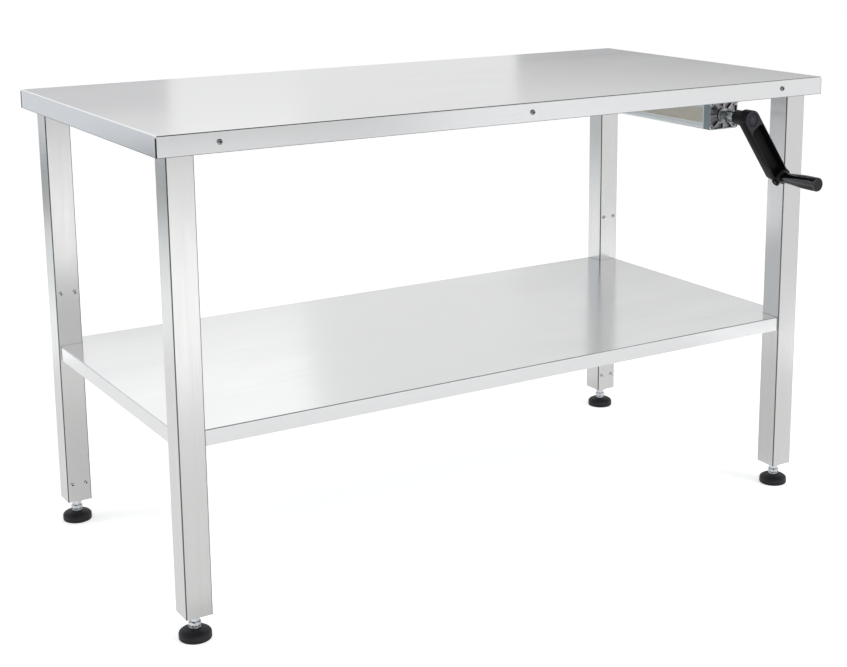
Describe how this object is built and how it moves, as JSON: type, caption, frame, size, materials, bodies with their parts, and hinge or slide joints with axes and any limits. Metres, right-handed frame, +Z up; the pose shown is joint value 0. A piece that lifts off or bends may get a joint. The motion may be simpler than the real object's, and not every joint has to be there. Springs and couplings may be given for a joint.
{
  "type": "instrument table",
  "caption": "Stainless steel instrument table with a lower shelf on square legs, raised by a hand crank, pump and rams, on levelling feet.",
  "frame": {"origin": "on the floor, midway between the four feet", "axes": "+X along the long side, towards the crank's end; +Y from front to rear; +Z up"},
  "size_m": [1.524, 0.9098, 0.94],
  "materials": {
    "stainless": "fine brushed",
    "screws": "bright",
    "plated_steel": "bright plated",
    "die_cast": "as cast",
    "aluminium": "anodised",
    "dark_steel": "oiled",
    "nylon": "matte",
    "hose": "satin",
    "rubber": "matte",
    "black_casting": "satin black",
    "gloss_black": "gloss black",
    "foot_black": "satin black",
    "label_plate": "matte cream"
  },
  "bodies": {
    "table": {"top_pan": "stainless", "front_rail": "stainless", "rear_rail": "stainless", "left_rail": "stainless", "right_rail": "stainless", "top_stiffeners": "stainless", "corner_plates": "stainless", "leg_fl": "stainless", "leg_fr": "stainless", "leg_rl": "stainless", "leg_rr": "stainless", "shelf_pan": "stainless", "shelf_stiffeners": "stainless", "shelf_brackets": "stainless", "top_screws": "screws", "shelf_screws": "screws", "cylinder_screws": "screws", "pump_cap_screws": "screws", "pump_plate_screws": "screws", "lift_cylinders": "plated_steel", "line_fittings": "plated_steel", "pump_plates": "plated_steel", "pump_front_cap": "die_cast", "pump_rear_cap": "die_cast", "pump_housing": "aluminium", "pump_block": "aluminium", "screw_bearing": "dark_steel", "cylinder_glands": "nylon", "lower_blocks": "nylon", "upper_blocks": "nylon", "line_clips": "nylon", "line_fl": "hose", "line_fr": "hose", "line_rl": "hose", "line_rr": "hose", "line_grommets": "rubber", "pump_label_plate": "label_plate"},
    "foot_fl": {"foot_fl": "foot_black"},
    "stem_fl": {"stem_fl": "plated_steel"},
    "ram_fl": {"ram_fl": "plated_steel"},
    "foot_fr": {"foot_fr": "foot_black"},
    "stem_fr": {"stem_fr": "plated_steel"},
    "ram_fr": {"ram_fr": "plated_steel"},
    "foot_rl": {"foot_rl": "foot_black"},
    "stem_rl": {"stem_rl": "plated_steel"},
    "ram_rl": {"ram_rl": "plated_steel"},
    "foot_rr": {"foot_rr": "foot_black"},
    "stem_rr": {"stem_rr": "plated_steel"},
    "ram_rr": {"ram_rr": "plated_steel"},
    "crank": {"crank_arm": "black_casting", "crank_coupling": "die_cast", "lead_screw": "plated_steel", "hub_cover": "black_casting", "fold_pin": "plated_steel"},
    "grip_holder": {"grip_spindle": "nylon"},
    "grip": {"grip_sleeve": "gloss_black", "grip_cap": "nylon"},
    "crosshead": {"crosshead": "dark_steel", "plungers": "plated_steel"}
  },
  "joints": [
    {"name": "crank_turn", "type": "hinge", "parent": "table", "child": "crank", "pos_m": [0.531, -0.4, 0.8675], "axis": [0, 1, 0], "range_deg": [0, 12240]},
    {"name": "grip_fold", "type": "hinge", "parent": "crank", "child": "grip_holder", "pos_m": [0.62049, -0.4155, 0.73729], "axis": [-0.8241, 0, -0.5664], "range_deg": [0, 90]},
    {"name": "grip_spin", "type": "hinge", "parent": "grip_holder", "child": "grip", "pos_m": [0.62049, -0.4155, 0.73729], "axis": [0, 1, 0], "continuous": true},
    {"name": "crosshead_slide", "type": "slide", "parent": "table", "child": "crosshead", "axis": [0, 1, 0], "range_m": [0, 0.204]},
    {"name": "table_lift", "type": "slide", "parent": "ram_fl", "child": "table", "axis": [0, 0, 1], "range_m": [0, 0.30474]},
    {"name": "ram_slide_fr", "type": "slide", "parent": "table", "child": "ram_fr", "axis": [0, 0, -1], "range_m": [0, 0.30474]},
    {"name": "ram_slide_rl", "type": "slide", "parent": "table", "child": "ram_rl", "axis": [0, 0, -1], "range_m": [0, 0.30474]},
    {"name": "ram_slide_rr", "type": "slide", "parent": "table", "child": "ram_rr", "axis": [0, 0, -1], "range_m": [0, 0.30474]},
    {"name": "stem_turn_fl", "type": "hinge", "parent": "foot_fl", "child": "stem_fl", "pos_m": [-0.712, -0.331, 0.013], "axis": [0, 0, -1], "range_deg": [0, 3600]},
    {"name": "level_fl", "type": "slide", "parent": "foot_fl", "child": "ram_fl", "axis": [0, 0, 1], "range_m": [0, 0.015]},
    {"name": "stem_turn_fr", "type": "hinge", "parent": "foot_fr", "child": "stem_fr", "pos_m": [0.712, -0.331, 0.013], "axis": [0, 0, -1], "range_deg": [0, 3600]},
    {"name": "level_fr", "type": "slide", "parent": "ram_fr", "child": "foot_fr", "axis": [0, 0, -1], "range_m": [0, 0.015]},
    {"name": "stem_turn_rl", "type": "hinge", "parent": "foot_rl", "child": "stem_rl", "pos_m": [-0.712, 0.331, 0.013], "axis": [0, 0, -1], "range_deg": [0, 3600]},
    {"name": "level_rl", "type": "slide", "parent": "ram_rl", "child": "foot_rl", "axis": [0, 0, -1], "range_m": [0, 0.015]},
    {"name": "stem_turn_rr", "type": "hinge", "parent": "foot_rr", "child": "stem_rr", "pos_m": [0.712, 0.331, 0.013], "axis": [0, 0, -1], "range_deg": [0, 3600]},
    {"name": "level_rr", "type": "slide", "parent": "ram_rr", "child": "foot_rr", "axis": [0, 0, -1], "range_m": [0, 0.015]}
  ],
  "couplings": [
    {"joint": "crosshead_slide", "follows": "table_lift", "ratio": 0.66942},
    {"joint": "crank_turn", "follows": "table_lift", "rad_per_m": 701.02},
    {"joint": "ram_slide_fr", "follows": "table_lift", "ratio": 1},
    {"joint": "ram_slide_rl", "follows": "table_lift", "ratio": 1},
    {"joint": "ram_slide_rr", "follows": "table_lift", "ratio": 1},
    {"joint": "stem_turn_fl", "follows": "level_fl", "rad_per_m": 4188.8},
    {"joint": "stem_turn_fr", "follows": "level_fr", "rad_per_m": 4188.8},
    {"joint": "stem_turn_rl", "follows": "level_rl", "rad_per_m": 4188.8},
    {"joint": "stem_turn_rr", "follows": "level_rr", "rad_per_m": 4188.8}
  ]
}
